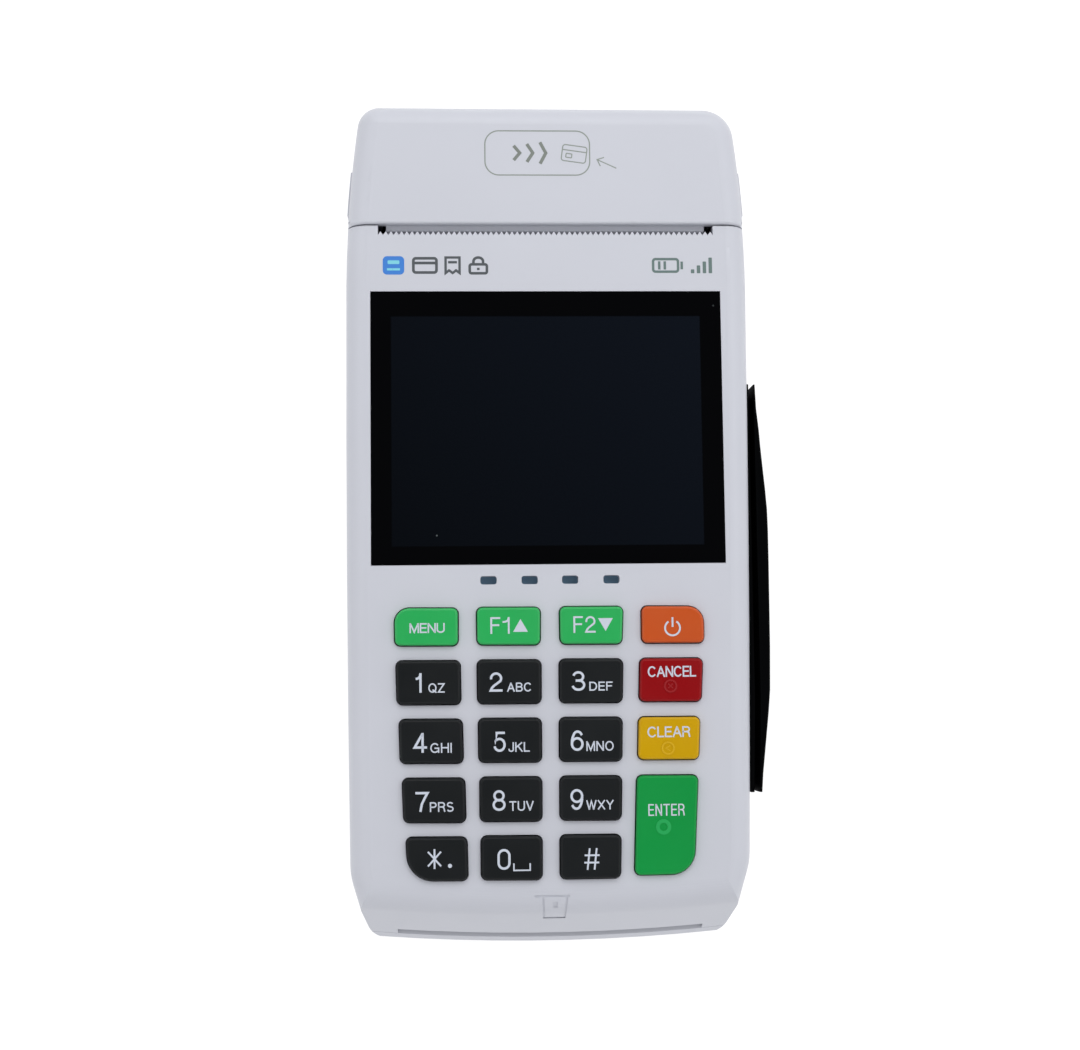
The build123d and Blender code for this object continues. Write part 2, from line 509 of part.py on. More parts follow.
# read head window in the housings and the sprung head
head_win = FACE * block(35.0, 39.0, -34.4, -25.6, -15.0, -10.0)
upper = one(upper - head_win)
lower = one(lower - head_win)
sh = FACE * block(34.6, 38.35, -34.0, -26.0, -14.6, -10.4)
sh = fillet([e for e in sh.edges() if e.center().X > 38.3 and abs(e.center().Y - sh.center().Y) > 3], 0.25) if False else sh
swipe_head = sh

# ---------------------------------------------------------------- battery, door, small parts
battery = rounded(-24.5, 24.5, -29.5, 27.5, 4.0, 20.0, 2.0)
battery_pack = one(battery)
door = rounded(DOOR[0], DOOR[1], DOOR[2], DOOR[3], BASE_Z, BASE_Z + WALL - 0.05, 0.6)
door = door - rounded(-9, 9, DOOR[2] + 3.0, DOOR[2] + 6.5, BASE_Z - 1, BASE_Z + 0.6, 1.0)
for sx in (-16, 16):
    door = door + block(sx - 3, sx + 3, DOOR[2] + 0.5, DOOR[2] + 1.6, BASE_Z + 1.0, BASE_Z + 4.2)
battery_door = one(door)
# battery well walls
well = block(-27.0, 27.0, -32.0, 30.0, 3.5, 21.5) - block(-25.4, 25.4, -30.6, 28.6, 2, 30)
well_top = None
feet = group([one(post(fx, fy, 0, BASE_Z + 0.55, 4.0)) for fx, fy in FEET])
screws = []
for bx, bv in BOSSES:
    top_h = -27.8 if bv < 0 else -35.8
    head_s = post(bx, bv, top_h, top_h + 1.4, 1.5) + post(bx, bv, top_h + 1.4, -5.6, 0.78)
    head_s = head_s - (Pos(bx, bv, top_h) * Box(1.8, 0.4, 0.9)) - (Pos(bx, bv, top_h) * Box(0.4, 1.8, 0.9))
    screws.append(one(FACE * head_s))
screws = group(screws)
speaker = one(post(-18, -57, 3.55, 7.5, 8.0) - post(-18, -57, 6.5, 9, 6.0))
usb = block(-36.4, -29.4, port_y - 4.5, port_y + 4.5, 9.8, 13.4)
usb = usb - block(-37, -30.4, port_y - 3.9, port_y + 3.9, 10.3, 12.9)
usb_port = one(usb + block(-36.0, -30.8, port_y - 2.9, port_y + 2.9, 11.3, 11.9))
io_board = block(-35.0, -27.6, port_y - 9, port_y + 9, 8.1, 9.7)
sam = group([one(FACE * block(x0, x0 + 15, -46.5, -26.0, -8.9, -7.25)) for x0 in (-22.0, 4.0)])
hinge_pin = rod(-31.0, 31.0, HINGE_Y, HINGE_Z, 1.0)
sensor = one(FACE * block(-24.0, -20.0, 33.0, 34.8, -17.3, -15.4))
antenna_pts = FACE * (block(-25, 25, 47.0, 58.5, COVER_RISE - WALL - 0.85, COVER_RISE - WALL - 0.05) - block(-23, 23, 49.0, 56.5, -5, 5))
antenna = one(antenna_pts)

# ---------------------------------------------------------------- write
save("upper_housing", upper)
save("lower_housing", lower)
save("printer_cover", cover)
save("display_lens", lens)
save("lcd_panel", lcd_panel)
save("lcd_backlight_tray", lcd_tray)
save("led_light_guides", guides)
save("keypad_membrane", membrane)
save("key_snap_domes", domes)
save("main_board", pcb)
save("board_shield", shield)
save("board_chips", chips)
save("backup_coin_cell", coin)
save("chip_card_reader", reader)
save("chip_card_contacts", contacts)
save("swipe_track", swipe_track)
save("swipe_rail", swipe_rail)
save("swipe_head", swipe_head)
save("printer_frame", printer_frame)
save("paper_trough", paper_trough)
save("print_head_springs", head_springs)
save("thermal_head", thermal_head)
save("printer_motor", motor_body)
save("motor_pinion", pinion_set)
save("idler_axle", idler_axle)
save("idler_gear", idler_gear)
save("hinge_pin", hinge_pin)
save("speaker", speaker)
save("usb_port", usb_port)
save("io_board", io_board)
save("housing_screws", screws)
save("rubber_feet", feet)
save("battery_pack", battery_pack)
save("battery_door", battery_door)
save("sam_card_sockets", sam)
save("paper_sensor", sensor)
save("platen_roller", platen_roller)
save("platen_shaft", platen_shaft)
save("platen_gear", platen_gear)
save("contactless_antenna", antenna)
for k in KEYS:
    save("key_" + k, FACE * make_key(k))
print("done")
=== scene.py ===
import bpy
import bmesh
import json
import math
from mathutils import Matrix, Vector


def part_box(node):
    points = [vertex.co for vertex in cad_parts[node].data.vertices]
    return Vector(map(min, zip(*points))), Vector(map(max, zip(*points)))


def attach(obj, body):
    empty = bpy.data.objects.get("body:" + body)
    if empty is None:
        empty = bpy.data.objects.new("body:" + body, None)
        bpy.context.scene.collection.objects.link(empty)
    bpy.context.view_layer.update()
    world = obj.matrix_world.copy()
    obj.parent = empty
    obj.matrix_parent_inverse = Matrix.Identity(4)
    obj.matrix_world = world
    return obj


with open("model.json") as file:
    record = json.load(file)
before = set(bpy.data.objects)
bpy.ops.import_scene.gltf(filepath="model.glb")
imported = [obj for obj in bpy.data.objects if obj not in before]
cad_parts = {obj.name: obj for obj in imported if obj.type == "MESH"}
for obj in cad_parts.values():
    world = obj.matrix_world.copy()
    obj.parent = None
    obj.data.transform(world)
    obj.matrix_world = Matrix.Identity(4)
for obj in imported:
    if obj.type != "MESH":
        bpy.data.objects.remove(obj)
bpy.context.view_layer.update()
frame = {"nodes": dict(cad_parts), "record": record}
scene = bpy.context.scene
nodes = frame["nodes"]

# ------------------------------------------------------------------ face frame
# (u, v, h) in millimetres: origin at the centre of the display lens, u right,
# v towards the printer end, h out of the face.
ALPHA = math.radians(7.0)
CA, SA = math.cos(ALPHA), math.sin(ALPHA)
lens_lo, lens_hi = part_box("display_lens")
ORIGIN = (lens_lo + lens_hi) / 2 + Vector((0, -SA, CA)) * 0.000525
FACE = Matrix(((1, 0, 0, ORIGIN.x), (0, CA, -SA, ORIGIN.y), (0, SA, CA, ORIGIN.z), (0, 0, 0, 1))) @ Matrix.Scale(0.001, 4)


def face_point(u, v, h=0.0):
    return FACE @ Vector((u, v, h))


# ------------------------------------------------------------------ camera
YAW, TILT, ROLL = math.radians(2.8245), math.radians(-5.5236), math.radians(0.6725)
TX, TY, DIST = 1.4111, 18.2291, 333.95


def turn(yaw, tilt, roll):
    cy, sy = math.cos(yaw), math.sin(yaw)
    ct, st = math.cos(tilt), math.sin(tilt)
    cr, sr = math.cos(roll), math.sin(roll)
    ry = Matrix(((cy, 0, sy), (0, 1, 0), (-sy, 0, cy)))
    rx = Matrix(((1, 0, 0), (0, ct, -st), (0, st, ct)))
    rz = Matrix(((cr, -sr, 0), (sr, cr, 0), (0, 0, 1)))
    return rz @ rx @ ry


view_turn = turn(YAW, TILT, ROLL)
face_turn = Matrix(((1, 0, 0), (0, CA, -SA), (0, SA, CA)))
cam_data = bpy.data.cameras.new("camera")
cam_data.sensor_width = 36.0
cam_data.lens = 60.0
cam_data.clip_start = 0.01
cam_data.clip_end = 20.0
cam = bpy.data.objects.new("camera", cam_data)
scene.collection.objects.link(cam)
eye = view_turn.transposed() @ (Vector((0, 0, DIST)) - Vector((TX, TY, 0)))
basis = face_turn @ view_turn.transposed()
cam.matrix_world = Matrix.Translation(face_point(*eye)) @ basis.to_4x4()
scene.camera = cam

# ------------------------------------------------------------------ material tools


def material(name):
    m = bpy.data.materials.new(name)
    m.use_nodes = True
    nt = m.node_tree
    nt.nodes.clear()
    out = nt.nodes.new("ShaderNodeOutputMaterial")
    bsdf = nt.nodes.new("ShaderNodeBsdfPrincipled")
    nt.links.new(bsdf.outputs[0], out.inputs[0])
    return m, nt, bsdf


def coords(nt):
    return nt.nodes.new("ShaderNodeTexCoord").outputs["Object"]


def noise(nt, where, scale, detail=3.0, rough=0.55):
    n = nt.nodes.new("ShaderNodeTexNoise")
    n.inputs["Scale"].default_value = scale
    n.inputs["Detail"].default_value = detail
    n.inputs["Roughness"].default_value = rough
    nt.links.new(where, n.inputs["Vector"])
    return n.outputs["Fac"]


def remap(nt, value, a, b, c, d, smooth=False):
    n = nt.nodes.new("ShaderNodeMapRange")
    n.interpolation_type = "SMOOTHSTEP" if smooth else "LINEAR"
    n.inputs["From Min"].default_value = a
    n.inputs["From Max"].default_value = b
    n.inputs["To Min"].default_value = c
    n.inputs["To Max"].default_value = d
    nt.links.new(value, n.inputs["Value"])
    return n.outputs["Result"]


def mix_colour(nt, fac, one, two):
    n = nt.nodes.new("ShaderNodeMix")
    n.data_type = "RGBA"
    for socket, v in ((n.inputs[0], fac), (n.inputs[6], one), (n.inputs[7], two)):
        if hasattr(v, "is_output"):
            nt.links.new(v, socket)
        else:
            socket.default_value = v if isinstance(v, (int, float)) else (*v, 1.0)
    return n.outputs[2]


def maths(nt, op, a, b):
    n = nt.nodes.new("ShaderNodeMath")
    n.operation = op
    for socket, v in zip(n.inputs, (a, b)):
        if hasattr(v, "is_output"):
            nt.links.new(v, socket)
        else:
            socket.default_value = v
    return n.outputs[0]


def bump(nt, bsdf, height, strength, distance):
    n = nt.nodes.new("ShaderNodeBump")
    n.inputs["Strength"].default_value = strength
    n.inputs["Distance"].default_value = distance
    nt.links.new(height, n.inputs["Height"])
    nt.links.new(n.outputs[0], bsdf.inputs["Normal"])
    return n


def painted_edge_mask(nt, low=0.52, high=0.60):
    """1 on convex edges, where the painted edge highlight goes."""
    g = nt.nodes.new("ShaderNodeNewGeometry")
    return remap(nt, g.outputs["Pointiness"], low, high, 0.0, 1.0)


def plastic(name, colour, rough, grain_scale=2600.0, grain=0.00002, spread=0.03, coat=0.0, coat_rough=0.1, specular=0.5, edge_highlight_amount=0.0, sss=0.0):
    """Moulded plastic: faint mottling, spark-eroded grain, uneven polish and a painted highlight that lightens the
    convex edges.
    """
    m, nt, b = material(name)
    where = coords(nt)
    broad = noise(nt, where, 38.0, 2.0)
    dark = [c * (1 - spread) for c in colour]
    lite = [min(1.0, c * (1 + spread)) for c in colour]
    col = mix_colour(nt, remap(nt, broad, 0.3, 0.7, 0.0, 1.0), dark, lite)
    # painted highlight: the base colour is lightened on convex edges, standing in for the light the fillets catch
    if edge_highlight_amount > 0:
        col = mix_colour(nt, maths(nt, "MULTIPLY", painted_edge_mask(nt), edge_highlight_amount), col, [min(1.0, c * 1.25 + 0.03) for c in colour])
    nt.links.new(col, b.inputs["Base Color"])
    fine = noise(nt, where, grain_scale, 2.0, 0.6)
    smear = noise(nt, where, 120.0, 4.0)
    nt.links.new(remap(nt, smear, 0.3, 0.7, max(0.02, rough - 0.05), rough + 0.05), b.inputs["Roughness"])
    bump(nt, b, fine, 0.35, grain)
    b.inputs["Specular IOR Level"].default_value = specular
    if coat:
        b.inputs["Coat Weight"].default_value = coat
        b.inputs["Coat Roughness"].default_value = coat_rough
    if sss:
        b.inputs["Subsurface Weight"].default_value = sss
        b.inputs["Subsurface Radius"].default_value = (1.0, 0.9, 0.8)
        b.inputs["Subsurface Scale"].default_value = 0.0006
    return m


def metal(name, colour, rough, lines=0.0, axis=0):
    """Metal with drawn or milled lines along one axis and small colour and polish changes."""
    m, nt, b = material(name)
    where = coords(nt)
    mp = nt.nodes.new("ShaderNodeMapping")
    scale = [3000.0, 3000.0, 3000.0]
    scale[axis] = 60.0
    mp.inputs["Scale"].default_value = scale
    nt.links.new(where, mp.inputs["Vector"])
    brushed = noise(nt, mp.outputs[0], 1.0, 2.0)
    cloud = noise(nt, where, 160.0, 3.0)
    nt.links.new(mix_colour(nt, cloud, [c * 0.9 for c in colour], [min(1, c * 1.06) for c in colour]), b.inputs["Base Color"])
    nt.links.new(remap(nt, brushed, 0.3, 0.7, rough * 0.8, rough * 1.25), b.inputs["Roughness"])
    b.inputs["Metallic"].default_value = 1.0
    bump(nt, b, brushed, 0.3, 0.00001 + 0.00002 * lines)
    return m


def rubber(name, colour, rough=0.75, scale=1800.0):
    m, nt, b = material(name)
    where = coords(nt)
    n1, n2 = noise(nt, where, scale, 3.0), noise(nt, where, 70.0, 3.0)
    nt.links.new(mix_colour(nt, n2, [c * 0.85 for c in colour], [c * 1.2 for c in colour]), b.inputs["Base Color"])
    nt.links.new(remap(nt, n1, 0.3, 0.7, rough - 0.08, rough + 0.08), b.inputs["Roughness"])
    b.inputs["Specular IOR Level"].default_value = 0.3
    bump(nt, b, n1, 0.5, 0.00004)
    return m


def lens_material():
    """Glossy hard-coated lens, black printed border, dark panel showing through the window, with painted light that
    lightens the panel towards the upper right.
    """
    m, nt, b = material("lens_hardcoat")
    where = coords(nt)
    mp = nt.nodes.new("ShaderNodeMapping")
    mp.vector_type = "TEXTURE"
    mp.inputs["Location"].default_value = ORIGIN
    mp.inputs["Rotation"].default_value = (ALPHA, 0, 0)
    mp.inputs["Scale"].default_value = (0.001, 0.001, 0.001)
    nt.links.new(where, mp.inputs["Vector"])
    sep = nt.nodes.new("ShaderNodeSeparateXYZ")
    nt.links.new(mp.outputs[0], sep.inputs[0])
    u, v = sep.outputs[0], sep.outputs[1]
    soft = 0.12
    inside = maths(nt, "MULTIPLY",
                   maths(nt, "MULTIPLY", remap(nt, u, -28.9 - soft, -28.9 + soft, 0, 1, True), remap(nt, u, 28.75 - soft, 28.75 + soft, 1, 0, True)),
                   maths(nt, "MULTIPLY", remap(nt, v, -22.1 - soft, -22.1 + soft, 0, 1, True), remap(nt, v, 20.8 - soft, 20.8 + soft, 1, 0, True)))
    # painted light: the panel colour grows lighter to the right and towards the top, where the lamps are
    across = remap(nt, u, -29, 29, 0, 1)
    up = remap(nt, v, -22, 21, 0, 1)
    painted_light_gradient = maths(nt, "ADD", maths(nt, "MULTIPLY", across, 0.6), maths(nt, "MULTIPLY", up, 0.4))
    panel = mix_colour(nt, painted_light_gradient, LCD_SHADED, LCD_LIT)
    base = mix_colour(nt, inside, BORDER, panel)
    # a few specks of dust
    vor = nt.nodes.new("ShaderNodeTexVoronoi")
    vor.inputs["Scale"].default_value = 130.0
    nt.links.new(where, vor.inputs["Vector"])
    near = remap(nt, vor.outputs["Distance"], 0.016, 0.028, 1, 0)
    pick = remap(nt, maths(nt, "FRACT", maths(nt, "MULTIPLY", vor.outputs["Color"], 7.3), 0.0), 0.80, 0.82, 0, 1)
    dust = maths(nt, "MULTIPLY", maths(nt, "MULTIPLY", near, pick), 0.35)
    nt.links.new(mix_colour(nt, dust, base, (0.22, 0.25, 0.26)), b.inputs["Base Color"])
    smear = noise(nt, where, 45.0, 4.0)
    nt.links.new(maths(nt, "ADD", remap(nt, smear, 0.35, 0.7, 0.035, 0.09), maths(nt, "MULTIPLY", dust, 0.5)), b.inputs["Roughness"])
    b.inputs["Specular IOR Level"].default_value = 0.35
    bump(nt, b, noise(nt, where, 900.0, 2.0), 0.05, 0.000002)
    return m


SKY = 0.90
LAMPS = [
    ("soft_rear", (0.05, 0.42, 0.68), (0.55, 0.35), 2.0),
    ("soft_right", (0.55, 0.05, 0.75), (0.45, 0.45), 1.2),
    ("soft_left", (-0.60, 0.10, 0.75), (0.45, 0.45), 0.6),
]
# dark panel colours, from the shaded lower left to the lit upper right: painted light
LCD_SHADED = (0.0022, 0.0030, 0.0046)
LCD_LIT = (0.0042, 0.0060, 0.0100)
BORDER = (0.0012, 0.0013, 0.0017)

# Each amount given for convex edges below sets a painted edge highlight.
WHITE = plastic("shell_white", (0.520, 0.533, 0.584), 0.42, 2400.0, 0.000018, 0.008, specular=0.45, edge_highlight_amount=0.05)
MAT = {
    "white_plastic": WHITE,
    "lens_black": lens_material(),
    "lcd_glass": plastic("panel_glass", (0.02, 0.025, 0.03), 0.08),
    "steel_sheet": metal("rolled_steel", (0.60, 0.61, 0.63), 0.32, 1.0, 0),
    "light_guide": plastic("smoked_guide", (0.160, 0.268, 0.368), 0.22, coat=0.4),
    "silicone_grey": rubber("silicone_grey", (0.40, 0.41, 0.43)),
    "dome_steel": metal("bright_steel", (0.72, 0.72, 0.74), 0.2, 0.5, 1),
    "circuit_board": plastic("solder_resist", (0.02, 0.18, 0.08), 0.28, 900.0, 0.00003, 0.15),
    "black_plastic": plastic("black_satin", (0.0012, 0.0014, 0.0017), 0.50, 2400.0, 0.00003, 0.08, specular=0.015, edge_highlight_amount=0.004),
    "gold_contact": metal("gold_flash", (0.83, 0.62, 0.25), 0.2, 0.3, 1),
    "grey_plastic": plastic("grey_satin", (0.17, 0.175, 0.19), 0.5, 1800.0, 0.00003, 0.05),
    "spring_steel": metal("drawn_steel", (0.52, 0.53, 0.55), 0.25, 1.0, 0),
    "head_aluminium": metal("milled_aluminium", (0.70, 0.71, 0.72), 0.3, 1.0, 0),
    "gear_white": plastic("acetal", (0.72, 0.70, 0.64), 0.35, 1500.0, 0.00001, 0.03),
    "rubber_dark": rubber("foot_rubber", (0.035, 0.035, 0.038)),
    "battery_wrap": plastic("shrink_film", (0.05, 0.11, 0.26), 0.3, 700.0, 0.00004, 0.08),
    "platen_rubber": rubber("platen_rubber", (0.03, 0.03, 0.032), 0.6),
    "antenna_board": plastic("polyimide_film", (0.42, 0.22, 0.05), 0.25, 900.0, 0.00002, 0.1),
    "key_black": plastic("key_black", (0.0062, 0.0076, 0.0086), 0.44, 2200.0, 0.000016, 0.08, specular=0.18, edge_highlight_amount=0.10),
    "key_green": plastic("key_green", (0.016, 0.375, 0.086), 0.38, 2200.0, 0.000014, 0.04, specular=0.4, sss=0.15),
    "key_orange": plastic("key_orange", (0.505, 0.078, 0.011), 0.36, 2200.0, 0.000014, 0.04, specular=0.26, sss=0.15),
    "key_red": plastic("key_red", (0.248, 0.002, 0.004), 0.36, 2200.0, 0.000014, 0.04, specular=0.16, sss=0.15),
    "key_yellow": plastic("key_yellow", (0.527, 0.306, 0.001), 0.36, 2200.0, 0.000014, 0.04, specular=0.18, sss=0.15),
}
LEGEND = plastic("legend_ink", (0.52, 0.56, 0.64), 0.5, 2600.0, 0.00001, 0.03)
PRINT_GREY = plastic("print_grey", (0.165, 0.185, 0.165), 0.55, 2600.0, 0.00001, 0.06)
PRINT_LINE = plastic("print_line", (0.230, 0.260, 0.235), 0.55, 2600.0, 0.00001, 0.06)
PRINT_GREEN = plastic("print_green_grey", (0.105, 0.160, 0.150), 0.5, 2600.0, 0.00001, 0.05)
PRINT_DARK = plastic("print_dark", (0.060, 0.070, 0.078), 0.5, 2600.0, 0.00001, 0.05)
PRINT_BLUE = plastic("print_blue", (0.030, 0.180, 0.560), 0.45, 2600.0, 0.00001, 0.05)
PRINT_CYAN = plastic("print_cyan", (0.180, 0.560, 0.660), 0.45, 2600.0, 0.00001, 0.05)

# painted shade: a darker, less glossy copy of the key green for the enter key, for the light falling off towards the
# front
SHADED_KEY_GREEN = plastic("key_green_shaded_copy", (0.006, 0.266, 0.050), 0.36, 2200.0, 0.000014, 0.04, specular=0.14, sss=0.15)
# touch-mark colours, a little lighter than their keys: a painted highlight on the raised marks
HIGHLIT_MARK = {
    "cancel": plastic("mark_red", (0.290, 0.014, 0.017), 0.34, 2200.0, 0.000014, 0.03, specular=0.30),
    "clear": plastic("mark_yellow", (0.600, 0.365, 0.012), 0.34, 2200.0, 0.000014, 0.03, specular=0.30),
    "enter": plastic("mark_green", (0.018, 0.345, 0.086), 0.34, 2200.0, 0.000014, 0.03, specular=0.30),
}
OWN = {"key_enter": SHADED_KEY_GREEN}
slot_of = {s["node"]: s["material_slot"] for s in frame["record"]["subparts"]}
for name, obj in nodes.items():
    mat = OWN.get(name) or MAT[slot_of[name]]
    if not obj.data.materials:
        obj.data.materials.append(mat)
    for i in range(len(obj.material_slots)):
        obj.material_slots[i].material = mat

# ------------------------------------------------------------------ flat graphics


def link(name, mesh, mat, body):
    obj = bpy.data.objects.new(name, mesh)
    scene.collection.objects.link(obj)
    mesh.materials.append(mat)
    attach(obj, body)
    return obj


def plate_from_bm(name, bm, mat, body, depth, sink=0.04):
    """A flat outline in face millimetres, given a small thickness that starts under the surface."""
    bm.normal_update()
    for f in bm.faces:
        if f.normal.z < 0:
            f.normal_flip()
    flat = list(bm.faces)
    ext = bmesh.ops.extrude_face_region(bm, geom=flat)
    up = [g for g in ext["geom"] if isinstance(g, bmesh.types.BMVert)]
    bmesh.ops.translate(bm, verts=up, vec=(0, 0, depth + sink))
    down = [v for v in bm.verts if v not in set(up)]
    bmesh.ops.translate(bm, verts=down, vec=(0, 0, -sink))
    bmesh.ops.translate(bm, verts=up, vec=(0, 0, -sink))
    bmesh.ops.recalc_face_normals(bm, faces=bm.faces)
    bm.transform(FACE)
    me = bpy.data.meshes.new(name)
    bm.to_mesh(me)
    bm.free()
    o = link(name, me, mat, body)
    return o


def strokes_bm(paths, width, h, caps="flat", segments=8):
    """Constant-width strokes along poly-lines, as flat ribbons with mitred joins."""
    bm = bmesh.new()
    for k, path in enumerate(paths):
        z = h + 0.0011 * k
        closed = (Vector(path[0]) - Vector(path[-1])).length < 1e-6 and len(path) > 3
        pts = [Vector(p) for p in (path[:-1] if closed else path)]
        if not closed:
            # square ends on straight strokes
            for end, nxt in ((0, 1), (-1, -2)):
                d = pts[end] - pts[nxt]
                if d.length > width * 0.9:
                    pts[end] = pts[end] + d.normalized() * (width / 2)
        n = len(pts)
        left, right = [], []
        for i, p in enumerate(pts):
            if closed:
                a, b = pts[i - 1], pts[(i + 1) % n]
            else:
                a, b = pts[max(i - 1, 0)], pts[min(i + 1, n - 1)]
            d1 = (p - a).normalized() if (p - a).length > 1e-9 else (b - p).normalized()
            d2 = (b - p).normalized() if (b - p).length > 1e-9 else d1
            t = (d1 + d2)
            t = t.normalized() if t.length > 1e-6 else d1
            nrm = Vector((-t.y, t.x))
            cosh = max(0.35, nrm.dot(Vector((-d1.y, d1.x))))
            w = width / 2 / cosh
            left.append(bm.verts.new((p.x + nrm.x * w, p.y + nrm.y * w, z)))
            right.append(bm.verts.new((p.x - nrm.x * w, p.y - nrm.y * w, z)))
        for i in range(n if closed else n - 1):
            j = (i + 1) % n
            bm.faces.new((left[i], left[j], right[j], right[i]))
    return bm


def arc(cx, cy, rx, ry, a0, a1, n=24):
    return [(cx + rx * math.cos(math.radians(a0 + (a1 - a0) * i / n)), cy + ry * math.sin(math.radians(a0 + (a1 - a0) * i / n))) for i in range(n + 1)]


def rounded_path(x0, y0, x1, y1, r, n=6):
    pts = []
    for cx, cy, a in ((x1 - r, y1 - r, 0), (x0 + r, y1 - r, 90), (x0 + r, y0 + r, 180), (x1 - r, y0 + r, 270)):
        pts += arc(cx, cy, r, r, a, a + 90, n)
    pts.append(pts[0])
    return pts


def rot180(paths, w):
    return [[(w - x, 1.0 - y) for x, y in p] for p in paths]


